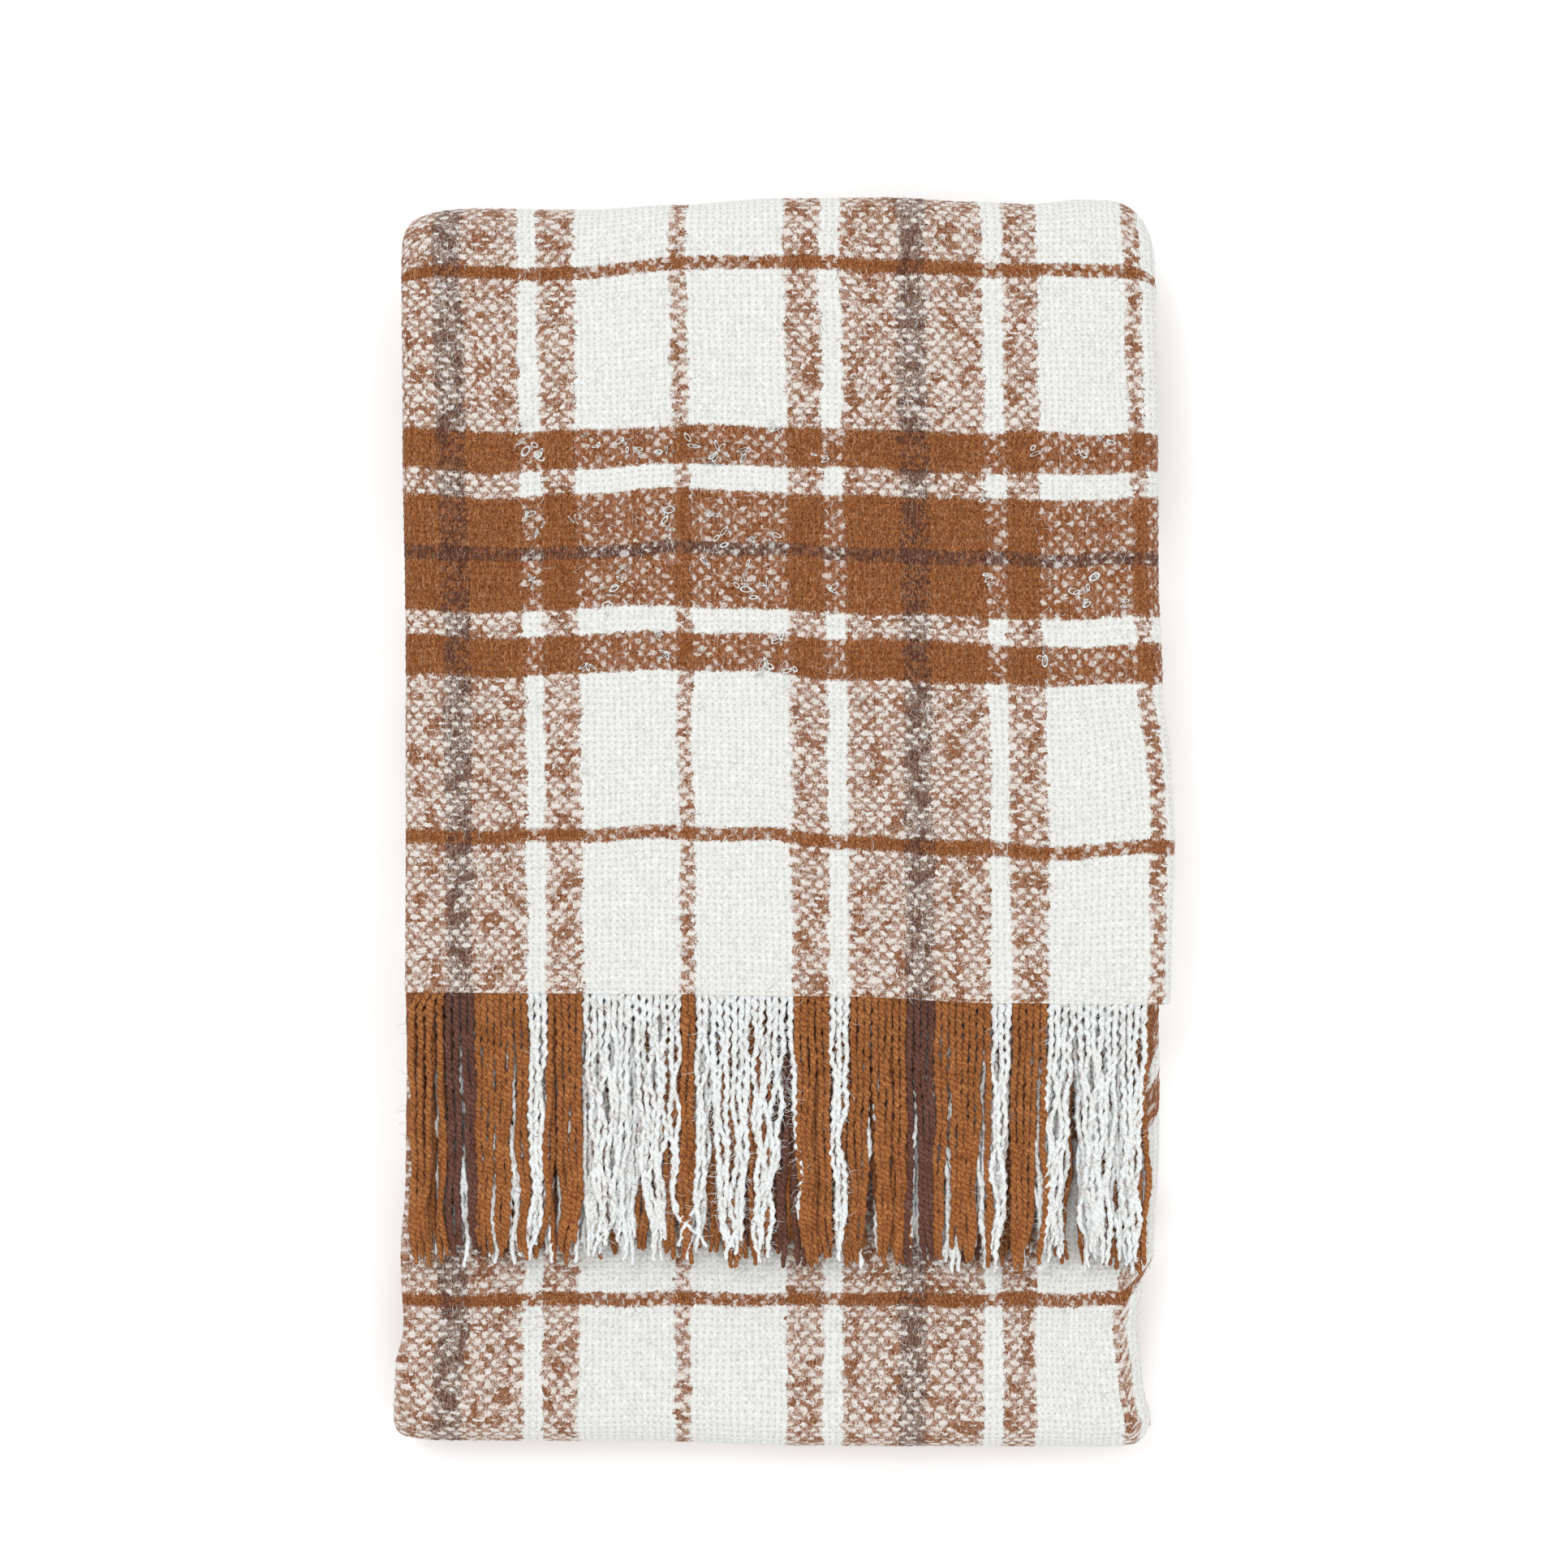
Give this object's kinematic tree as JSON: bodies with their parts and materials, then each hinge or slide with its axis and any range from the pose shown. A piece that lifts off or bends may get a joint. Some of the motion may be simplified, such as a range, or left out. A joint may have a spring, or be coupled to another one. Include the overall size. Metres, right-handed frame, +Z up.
{
  "type": "folded throw blanket",
  "caption": "Woven throw blanket with banded checks and a fringe at each end, gate-folded across and then folded in three, so that its panels open about the end folds.",
  "frame": {"origin": "middle of the rest face, under the centre of the folded blanket's outline", "axes": "+X across the folded blanket from the side folds to the centre fold, +Y along it from the front fold to the rear fold, +Z up"},
  "size_m": [0.322, 0.52, 0.0597],
  "materials": {
    "flat_cloth": "brushed bulky plain weave, matte",
    "side_fold_cloth": "brushed bulky plain weave, matte",
    "end_fold_cloth": "brushed bulky plain weave, matte",
    "fringe_yarn": "loose two-ply yarn ends, matte"
  },
  "bodies": {
    "lower_panel": {"lower_panel_ply_1": "flat_cloth", "lower_panel_ply_2": "flat_cloth", "lower_panel_ply_3": "flat_cloth", "lower_panel_ply_4": "flat_cloth", "lower_panel_side_fold_1_2": "side_fold_cloth", "lower_panel_side_fold_3_4": "side_fold_cloth", "lower_panel_centre_fold_1_4": "side_fold_cloth", "lower_fringe_ply_1": "fringe_yarn", "lower_fringe_ply_2": "fringe_yarn", "lower_fringe_ply_3": "fringe_yarn", "lower_fringe_ply_4": "fringe_yarn", "front_fold_ply_1": "end_fold_cloth", "front_fold_ply_2": "end_fold_cloth", "front_fold_ply_3": "end_fold_cloth", "front_fold_ply_4": "end_fold_cloth", "front_fold_side_fold_1_2": "end_fold_cloth", "front_fold_side_fold_3_4": "end_fold_cloth", "front_fold_centre_fold_1_4": "end_fold_cloth"},
    "middle_panel": {"middle_panel_ply_1": "flat_cloth", "middle_panel_ply_2": "flat_cloth", "middle_panel_ply_3": "flat_cloth", "middle_panel_ply_4": "flat_cloth", "middle_panel_side_fold_1_2": "side_fold_cloth", "middle_panel_side_fold_3_4": "side_fold_cloth", "middle_panel_centre_fold_1_4": "side_fold_cloth", "rear_fold_ply_1": "end_fold_cloth", "rear_fold_ply_2": "end_fold_cloth", "rear_fold_ply_3": "end_fold_cloth", "rear_fold_ply_4": "end_fold_cloth", "rear_fold_side_fold_1_2": "end_fold_cloth", "rear_fold_side_fold_3_4": "end_fold_cloth", "rear_fold_centre_fold_1_4": "end_fold_cloth"},
    "upper_panel": {"upper_panel_ply_1": "flat_cloth", "upper_panel_ply_2": "flat_cloth", "upper_panel_ply_3": "flat_cloth", "upper_panel_ply_4": "flat_cloth", "upper_panel_side_fold_1_2": "side_fold_cloth", "upper_panel_side_fold_3_4": "side_fold_cloth", "upper_panel_centre_fold_1_4": "side_fold_cloth"},
    "upper_fringe": {"upper_fringe_ply_1": "fringe_yarn", "upper_fringe_ply_2": "fringe_yarn", "upper_fringe_ply_3": "fringe_yarn", "upper_fringe_ply_4": "fringe_yarn"}
  },
  "joints": [
    {"name": "front_fold_hinge", "type": "hinge", "parent": "lower_panel", "child": "middle_panel", "pos_m": [0, -0.24, 0.01985], "axis": [1, 0, 0], "range_deg": [0, 180], "deforming": ["front_fold_ply_1", "front_fold_ply_2", "front_fold_ply_3", "front_fold_ply_4", "front_fold_side_fold_1_2", "front_fold_side_fold_3_4", "front_fold_centre_fold_1_4"]},
    {"name": "rear_fold_hinge", "type": "hinge", "parent": "middle_panel", "child": "upper_panel", "pos_m": [0, 0.24, 0.03985], "axis": [-1, 0, 0], "range_deg": [0, 180], "deforming": ["rear_fold_ply_1", "rear_fold_ply_2", "rear_fold_ply_3", "rear_fold_ply_4", "rear_fold_side_fold_1_2", "rear_fold_side_fold_3_4", "rear_fold_centre_fold_1_4"]},
    {"name": "upper_fringe_hinge", "type": "hinge", "parent": "upper_panel", "child": "upper_fringe", "pos_m": [0, -0.0706, 0.0612], "axis": [-1, 0, 0], "range_deg": [0, 180]}
  ]
}
